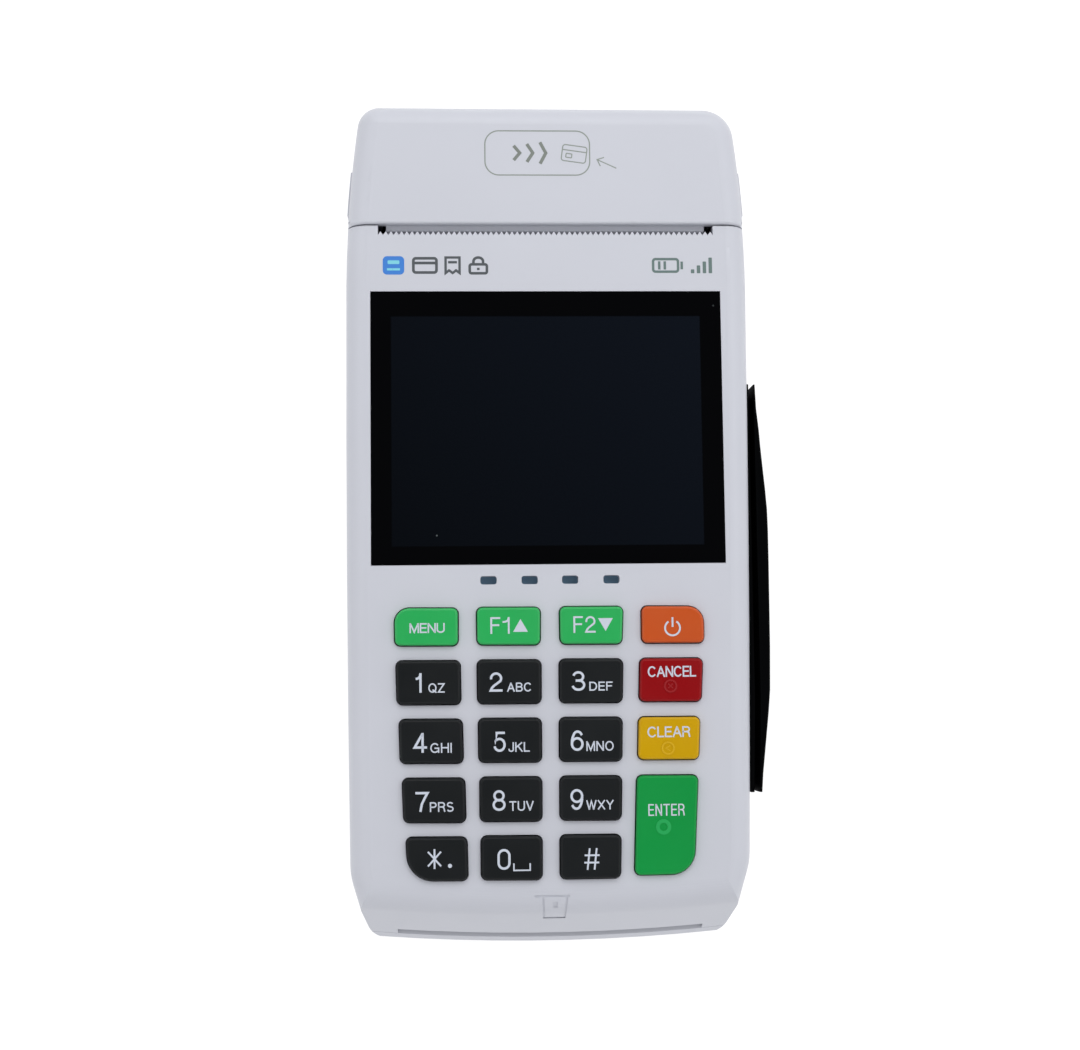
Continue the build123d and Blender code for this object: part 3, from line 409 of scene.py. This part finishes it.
SIX = [arc(0.29, 0.315, 0.28, 0.315, 0, 360, 36), [(0.545, 0.80)] + arc(0.315, 0.72, 0.225, 0.28, 28, 150, 14) + [(0.055, 0.70), (0.018, 0.52), (0.01, 0.315)]]
GLYPHS = {
    "0": (0.56, [arc(0.28, 0.70, 0.28, 0.30, 0, 180, 20) + arc(0.28, 0.30, 0.28, 0.30, 180, 360, 20) + [(0.56, 0.70)]]),
    "1": (0.32, [[(0.32, 0.0), (0.32, 1.0)], [(0.0, 0.735), (0.12, 0.75), (0.22, 0.80), (0.28, 0.88), (0.31, 0.985)]]),
    "2": (0.56, [arc(0.285, 0.71, 0.265, 0.29, 190, -32, 26) + [(0.38, 0.45), (0.18, 0.29), (0.06, 0.15), (0.0, 0.0), (0.56, 0.0)]]),
    "3": (0.55, [arc(0.265, 0.755, 0.235, 0.245, 168, -88, 24), arc(0.265, 0.27, 0.28, 0.27, 88, -170, 26), [(0.19, 0.525), (0.30, 0.525)]]),
    "4": (0.60, [[(0.62, 0.235), (0.0, 0.235), (0.42, 1.0), (0.44, 1.0), (0.44, 0.0)]]),
    "5": (0.56, [[(0.52, 1.0), (0.12, 1.0), (0.055, 0.50)] + arc(0.275, 0.33, 0.285, 0.33, 140, -165, 28)]),
    "6": (0.57, SIX),
    "7": (0.55, [[(0.0, 1.0), (0.55, 1.0), (0.40, 0.70), (0.26, 0.36), (0.20, 0.0)]]),
    "8": (0.56, [arc(0.28, 0.755, 0.235, 0.245, 0, 360, 32), arc(0.28, 0.265, 0.28, 0.265, 0, 360, 32)]),
    "9": (0.57, rot180(SIX, 0.57)),
    "A": (0.66, [[(0.0, 0.0), (0.32, 1.0), (0.34, 1.0), (0.66, 0.0)], [(0.115, 0.33), (0.545, 0.33)]]),
    "B": (0.58, [[(0.34, 0.53), (0.0, 0.53), (0.0, 1.0), (0.34, 1.0)] + arc(0.34, 0.765, 0.21, 0.235, 80, -90, 14), [(0.0, 0.53), (0.0, 0.0), (0.36, 0.0)] + arc(0.36, 0.265, 0.22, 0.265, -80, 90, 14)]),
    "C": (0.68, [arc(0.35, 0.5, 0.35, 0.5, 36, 324, 36)]),
    "D": (0.64, [[(0.28, 0.0), (0.0, 0.0), (0.0, 1.0), (0.28, 1.0)] + arc(0.28, 0.5, 0.36, 0.5, 85, -90, 24)]),
    "E": (0.50, [[(0.50, 0.0), (0.0, 0.0), (0.0, 1.0), (0.49, 1.0)], [(0.0, 0.52), (0.46, 0.52)]]),
    "F": (0.50, [[(0.0, 0.0), (0.0, 1.0), (0.50, 1.0)], [(0.0, 0.52), (0.44, 0.52)]]),
    "G": (0.70, [arc(0.35, 0.5, 0.35, 0.5, 38, 318, 36), [(0.38, 0.47), (0.69, 0.47), (0.69, 0.0)]]),
    "H": (0.60, [[(0.0, 0.0), (0.0, 1.0)], [(0.60, 0.0), (0.60, 1.0)], [(0.0, 0.52), (0.60, 0.52)]]),
    "I": (0.0, [[(0.0, 0.0), (0.0, 1.0)]]),
    "J": (0.42, [[(0.42, 1.0), (0.42, 0.22)] + arc(0.21, 0.21, 0.21, 0.21, -4, -180, 14) + [(0.0, 0.30)]]),
    "K": (0.60, [[(0.0, 0.0), (0.0, 1.0)], [(0.58, 1.0), (0.0, 0.42)], [(0.22, 0.62), (0.61, 0.0)]]),
    "L": (0.47, [[(0.0, 1.0), (0.0, 0.0), (0.47, 0.0)]]),
    "M": (0.72, [[(0.0, 0.0), (0.0, 1.0), (0.03, 1.0), (0.36, 0.03), (0.69, 1.0), (0.72, 1.0), (0.72, 0.0)]]),
    "N": (0.60, [[(0.0, 0.0), (0.0, 1.0), (0.03, 1.0), (0.57, 0.0), (0.60, 0.0), (0.60, 1.0)]]),
    "O": (0.70, [arc(0.35, 0.5, 0.35, 0.5, 0, 360, 40)]),
    "P": (0.54, [[(0.0, 0.0), (0.0, 1.0), (0.30, 1.0)] + arc(0.30, 0.74, 0.24, 0.26, 80, -90, 14) + [(0.0, 0.48)]]),
    "Q": (0.70, [arc(0.35, 0.5, 0.35, 0.5, 0, 360, 40), [(0.42, 0.24), (0.70, -0.02)]]),
    "R": (0.58, [[(0.0, 0.0), (0.0, 1.0), (0.32, 1.0)] + arc(0.32, 0.75, 0.24, 0.25, 80, -90, 14) + [(0.0, 0.50)], [(0.34, 0.50), (0.50, 0.40), (0.54, 0.22), (0.58, 0.0)]]),
    "S": (0.56, [arc(0.28, 0.76, 0.25, 0.24, 25, 235, 20) + arc(0.28, 0.255, 0.28, 0.255, 60, -155, 22)]),
    "T": (0.58, [[(0.0, 1.0), (0.58, 1.0)], [(0.29, 1.0), (0.29, 0.0)]]),
    "U": (0.60, [[(0.0, 1.0), (0.0, 0.30)] + arc(0.30, 0.30, 0.30, 0.30, 184, 356, 20) + [(0.60, 0.30), (0.60, 1.0)]]),
    "V": (0.62, [[(0.0, 1.0), (0.30, 0.0), (0.32, 0.0), (0.62, 1.0)]]),
    "W": (0.90, [[(0.0, 1.0), (0.22, 0.0), (0.24, 0.0), (0.45, 0.98), (0.66, 0.0), (0.68, 0.0), (0.90, 1.0)]]),
    "X": (0.60, [[(0.0, 1.0), (0.60, 0.0)], [(0.60, 1.0), (0.0, 0.0)]]),
    "Y": (0.60, [[(0.0, 1.0), (0.30, 0.45), (0.60, 1.0)], [(0.30, 0.45), (0.30, 0.0)]]),
    "Z": (0.56, [[(0.02, 1.0), (0.56, 1.0), (0.0, 0.0), (0.57, 0.0)]]),
}


def text_bm(text, u0, v_top, u1, v_bot, h, width, gap=0.26):
    """Stroke lettering: centre lines fitted to a box in face millimetres, then given their width."""
    tall = v_top - v_bot - width
    advance, natural = [], 0.0
    for i, ch in enumerate(text):
        advance.append(natural)
        natural += GLYPHS[ch][0] + (gap if i < len(text) - 1 else 0.0)
    k = (u1 - u0 - width) / natural if natural else 1.0
    paths = []
    for ch, at in zip(text, advance):
        for path in GLYPHS[ch][1]:
            paths.append([(u0 + width / 2 + (at + x) * k, v_bot + width / 2 + y * tall) for x, y in path])
    return strokes_bm(paths, width, h)


KEY_H = 1.15
LEGENDS = [
    ("menu", "MENU", -25.72, -36.24, -19.30, -38.05),
    ("f1", "F1", -10.98, -35.28, -7.45, -38.32),
    ("f2", "F2", 4.22, -35.25, 8.30, -38.28),
    ("1", "1", -24.85, -45.33, -23.55, -48.86), ("1", "QZ", -22.36, -47.18, -19.38, -48.90),
    ("2", "2", -11.22, -45.33, -8.86, -48.84), ("2", "ABC", -8.02, -47.22, -3.56, -48.88),
    ("3", "3", 3.78, -45.28, 6.28, -48.86), ("3", "DEF", 6.98, -47.22, 11.24, -48.86),
    ("cancel", "CANCEL", 17.74, -44.52, 26.62, -46.50),
    ("4", "4", -25.10, -56.14, -22.70, -59.70), ("4", "GHI", -22.06, -57.98, -18.16, -59.76),
    ("5", "5", -10.62, -56.08, -8.38, -59.72), ("5", "JKL", -7.90, -58.00, -4.02, -59.76),
    ("6", "6", 3.42, -56.02, 5.80, -59.72), ("6", "MNO", 6.28, -58.00, 11.28, -59.78),
    ("clear", "CLEAR", 17.48, -55.50, 25.34, -57.46),
    ("7", "7", -24.80, -66.72, -22.38, -70.28), ("7", "PRS", -22.20, -68.58, -17.90, -70.34),
    ("8", "8", -10.88, -66.60, -8.50, -70.32), ("8", "TUV", -7.84, -68.60, -3.42, -70.36),
    ("9", "9", 3.26, -66.60, 5.64, -70.34), ("9", "WXY", 6.12, -68.62, 11.10, -70.34),
    ("enter", "ENTER", 17.40, -69.50, 24.04, -71.62),
    ("0", "0", -10.08, -77.14, -7.70, -80.84),
]
for key, text, u0, vt, u1, vb in LEGENDS:
    heavy = 0.43 if len(text) == 1 else {"menu": 0.27, "f1": 0.34, "f2": 0.34, "cancel": 0.28, "clear": 0.28, "enter": 0.24}.get(key, 0.245)
    bm = text_bm(text, u0, vt, u1, vb, KEY_H, heavy, {"cancel": 0.20, "clear": 0.20, "enter": 0.30, "menu": 0.20}.get(key, 0.26))
    plate_from_bm("legend_%s_%s" % (key, text.lower()), bm, LEGEND, "key_" + key, 0.012)


def polygon_bm(points, h):
    bm = bmesh.new()
    bm.faces.new([bm.verts.new((x, y, h)) for x, y in points])
    return bm


plate_from_bm("legend_f1_up", polygon_bm([(-6.83, -38.0), (-4.11, -38.0), (-5.47, -35.66)], KEY_H), LEGEND, "key_f1", 0.012)
plate_from_bm("legend_f2_down", polygon_bm([(8.76, -35.64), (11.48, -35.64), (10.12, -38.0)], KEY_H), LEGEND, "key_f2", 0.012)
plate_from_bm("legend_power_ring", strokes_bm([arc(22.44, -37.55, 1.37, 1.37, 122, 418, 40)], 0.34, KEY_H), LEGEND, "key_power", 0.012)
plate_from_bm("legend_power_bar", strokes_bm([[(22.46, -35.76), (22.46, -37.2)]], 0.34, KEY_H), LEGEND, "key_power", 0.012)
plate_from_bm("legend_zero_space", strokes_bm([[(-7.12, -79.86), (-7.12, -80.98), (-4.18, -80.98), (-4.18, -79.86)]], 0.26, KEY_H), LEGEND, "key_0", 0.012)
plate_from_bm("legend_star_arms", strokes_bm([[(-21.41, -77.12), (-21.41, -80.32)]], 0.34, KEY_H), LEGEND, "key_star", 0.012)
plate_from_bm("legend_star_cross_a", strokes_bm([[(-22.48, -77.55), (-20.34, -79.90)]], 0.32, KEY_H), LEGEND, "key_star", 0.0125)
plate_from_bm("legend_star_cross_b", strokes_bm([[(-20.34, -77.55), (-22.48, -79.90)]], 0.32, KEY_H), LEGEND, "key_star", 0.013)
plate_from_bm("legend_star_dot", polygon_bm(arc(-18.64, -79.98, 0.37, 0.37, 0, 345, 23), KEY_H), LEGEND, "key_star", 0.012)
for i, seg in enumerate([[(6.62, -77.4), (6.22, -80.92)], [(7.88, -77.4), (7.48, -80.92)], [(5.86, -78.5), (8.24, -78.5)], [(5.78, -79.8), (8.16, -79.8)]]):
    plate_from_bm("legend_hash_%d" % i, strokes_bm([seg], 0.32, KEY_H), LEGEND, "key_hash", 0.012 + 0.0005 * i)

# raised touch marks on the three function keys, coloured lighter than their keys as a painted highlight
for key, cu_, cv_, kind in (("cancel", 21.9, -48.15, "x"), ("clear", 21.25, -59.45, "tri"), ("enter", 20.15, -73.62, "o")):
    m = HIGHLIT_MARK[key]
    plate_from_bm("mark_%s_ring" % key, strokes_bm([arc(cu_, cv_, 1.06, 1.06, 0, 360, 40)], {"enter": 0.66}.get(key, 0.3), KEY_H), m, "key_" + key, 0.09)
    if kind == "x":
        plate_from_bm("mark_cancel_a", strokes_bm([[(cu_ - 0.36, cv_ - 0.36), (cu_ + 0.36, cv_ + 0.36)]], 0.2, KEY_H), m, "key_" + key, 0.06)
        plate_from_bm("mark_cancel_b", strokes_bm([[(cu_ - 0.36, cv_ + 0.36), (cu_ + 0.36, cv_ - 0.36)]], 0.2, KEY_H), m, "key_" + key, 0.065)
    if kind == "tri":
        plate_from_bm("mark_clear_a", strokes_bm([[(cu_ + 0.32, cv_ + 0.42), (cu_ - 0.42, cv_), (cu_ + 0.32, cv_ - 0.42)]], 0.2, KEY_H), m, "key_" + key, 0.06)

# ------------------------------------------------------------------ printed pictograms, all plain shapes


def rounded_poly(x0, y0, x1, y1, r, h):
    return polygon_bm(rounded_path(x0, y0, x1, y1, r)[:-1], h)


def turned_path(points, cx, cy, deg):
    c, s_ = math.cos(math.radians(deg)), math.sin(math.radians(deg))
    return [(cx + (x - cx) * c - (y - cy) * s_, cy + (x - cx) * s_ + (y - cy) * c) for x, y in points]


COVER_H = 0.7
ink = 0.012
# cover: a rounded frame, three chevrons pointing at a plain card
plate_from_bm("cover_mark_frame", strokes_bm([rounded_path(-11.2, 47.6, 8.5, 56.1, 2.6, 10)], 0.24, COVER_H), PRINT_LINE, "cover", ink)
chev = [[(-5.6 + 2.45 * i, 51.85 + 1.15 + 0.32 * i), (-4.65 + 2.45 * i, 51.85), (-5.6 + 2.45 * i, 51.85 - 1.15 - 0.32 * i)] for i in range(3)]
plate_from_bm("cover_mark_chevrons", strokes_bm(chev, 0.62, COVER_H), PRINT_GREY, "cover", ink)
card_c = (5.6, 51.85)
card = turned_path(rounded_path(3.3, 50.15, 7.9, 53.25, 0.5, 5), *card_c, -8)
stripe = turned_path([(3.3, 52.25), (7.9, 52.25)], *card_c, -8)
chip = turned_path(rounded_path(4.1, 50.85, 5.2, 51.6, 0.12, 3), *card_c, -8)
plate_from_bm("cover_mark_card", strokes_bm([card, stripe, chip], 0.22, COVER_H), PRINT_LINE, "cover", ink)
# slim arrow outside the frame, towards the card
plate_from_bm("cover_mark_arrow", strokes_bm([[(13.4, 49.0), (9.9, 50.6)], [(11.1, 51.0), (9.9, 50.6), (10.45, 49.45)]], 0.22, COVER_H), PRINT_LINE, "cover", ink)

# band above the display, left: coloured tile and three plain icons (card, receipt, lock)
bv = 30.5
plate_from_bm("band_tile", rounded_poly(-30.4, bv - 1.75, -26.4, bv + 1.75, 0.8, 0.0), PRINT_BLUE, "root", ink)
plate_from_bm("band_tile_bar", rounded_poly(-29.5, bv + 0.25, -27.3, bv + 0.95, 0.2, 0.0), PRINT_CYAN, "root", ink + 0.008)
plate_from_bm("band_tile_dots", strokes_bm([[(-29.4, bv - 0.75), (-28.75, bv - 0.75)], [(-28.3, bv - 0.75), (-27.4, bv - 0.75)]], 0.42, 0.0), PRINT_CYAN, "root", ink + 0.008)
plate_from_bm("band_card", strokes_bm([rounded_path(-24.7, bv - 1.35, -20.4, bv + 1.35, 0.45, 5), [(-24.7, bv + 0.45), (-20.4, bv + 0.45)]], 0.52, 0.0), PRINT_DARK, "root", ink)
receipt = [(-18.7, bv + 1.5), (-18.7, bv - 1.45), (-18.05, bv - 0.95), (-17.4, bv - 1.45), (-16.75, bv - 0.95), (-16.1, bv - 1.45), (-16.1, bv + 1.5), (-18.7, bv + 1.5)]
plate_from_bm("band_receipt", strokes_bm([receipt, [(-18.0, bv + 0.6), (-16.8, bv + 0.6)]], 0.46, 0.0), PRINT_DARK, "root", ink)
plate_from_bm("band_lock", strokes_bm([rounded_path(-14.2, bv - 1.5, -11.0, bv + 0.2, 0.35, 4), [(-13.5, bv + 0.2), (-13.5, bv + 0.75)] + arc(-12.6, bv + 0.75, 0.9, 0.75, 175, 5, 12) + [(-11.7, bv + 0.2)], [(-12.6, bv - 0.45), (-12.6, bv - 0.9)]], 0.5, 0.0), PRINT_DARK, "root", ink)
# band, right: battery and rising bars
plate_from_bm("band_battery", strokes_bm([rounded_path(20.2, bv - 1.2, 24.9, bv + 1.2, 0.45, 5), [(25.6, bv - 0.5), (25.6, bv + 0.5)], [(21.35, bv - 0.55), (21.35, bv + 0.55)], [(22.4, bv - 0.55), (22.4, bv + 0.55)]], 0.48, 0.0), PRINT_GREEN, "root", ink)
for i in range(4):
    x = 27.3 + 1.12 * i
    plate_from_bm("band_bar_%d" % i, rounded_poly(x, bv - 1.5, x + 0.66, bv - 0.75 + 0.75 * i, 0.12, 0.0), PRINT_GREEN, "root", ink)

# ------------------------------------------------------------------ floor, lights
floor_me = bpy.data.meshes.new("floor")
bm = bmesh.new()
bmesh.ops.create_grid(bm, x_segments=2, y_segments=2, size=3.0)
bmesh.ops.translate(bm, verts=bm.verts, vec=(0, 0, -0.0002))
bm.to_mesh(floor_me)
bm.free()
floor = bpy.data.objects.new("floor", floor_me)
scene.collection.objects.link(floor)
fm, fnt, fb = material("floor_paper")
fb.inputs["Base Color"].default_value = (0.20, 0.20, 0.20, 1)
fb.inputs["Emission Color"].default_value = (1, 1, 1, 1)
fb.inputs["Emission Strength"].default_value = 0.88
fb.inputs["Roughness"].default_value = 0.9
fb.inputs["Specular IOR Level"].default_value = 0.1
# seen from below, the floor lets the underside show
geo = fnt.nodes.new("ShaderNodeNewGeometry")
clear = fnt.nodes.new("ShaderNodeBsdfTransparent")
pick = fnt.nodes.new("ShaderNodeMixShader")
out = [n for n in fnt.nodes if n.type == "OUTPUT_MATERIAL"][0]
fnt.links.new(geo.outputs["Backfacing"], pick.inputs[0])
fnt.links.new(fb.outputs[0], pick.inputs[1])
fnt.links.new(clear.outputs[0], pick.inputs[2])
fnt.links.new(pick.outputs[0], out.inputs["Surface"])
floor_me.materials.append(fm)

# a soft studio tent: bright round the sides, dark straight above, as under a hooded camera
world = bpy.data.worlds.new("world")
scene.world = world
world.use_nodes = True
wt = world.node_tree
bg = wt.nodes["Background"]
tc = wt.nodes.new("ShaderNodeTexCoord")
sep = wt.nodes.new("ShaderNodeSeparateXYZ")
wt.links.new(tc.outputs["Generated"], sep.inputs[0])
level = remap(wt, sep.outputs[2], 0.86, 0.95, 1.0, 0.03, True)
wt.links.new(maths(wt, "MULTIPLY", level, SKY), bg.inputs[1])
bg.inputs[0].default_value = (0.985, 0.985, 1.0, 1)


def area(name, where, aim, size, power, colour=(1, 1, 1)):
    d = bpy.data.lights.new(name, "AREA")
    d.shape = "RECTANGLE"
    d.size, d.size_y = size
    d.energy = power
    d.color = colour
    o = bpy.data.objects.new(name, d)
    scene.collection.objects.link(o)
    o.location = where
    o.rotation_euler = (Vector(aim) - Vector(where)).to_track_quat("-Z", "Y").to_euler()
    return o


for name, where, size, power in LAMPS:
    area(name, where, (0, 0, 0.02), size, power)

scene.view_settings.view_transform = "Standard"
scene.view_settings.look = "None"
scene.view_settings.exposure = 0.0
scene.view_settings.gamma = 1.0
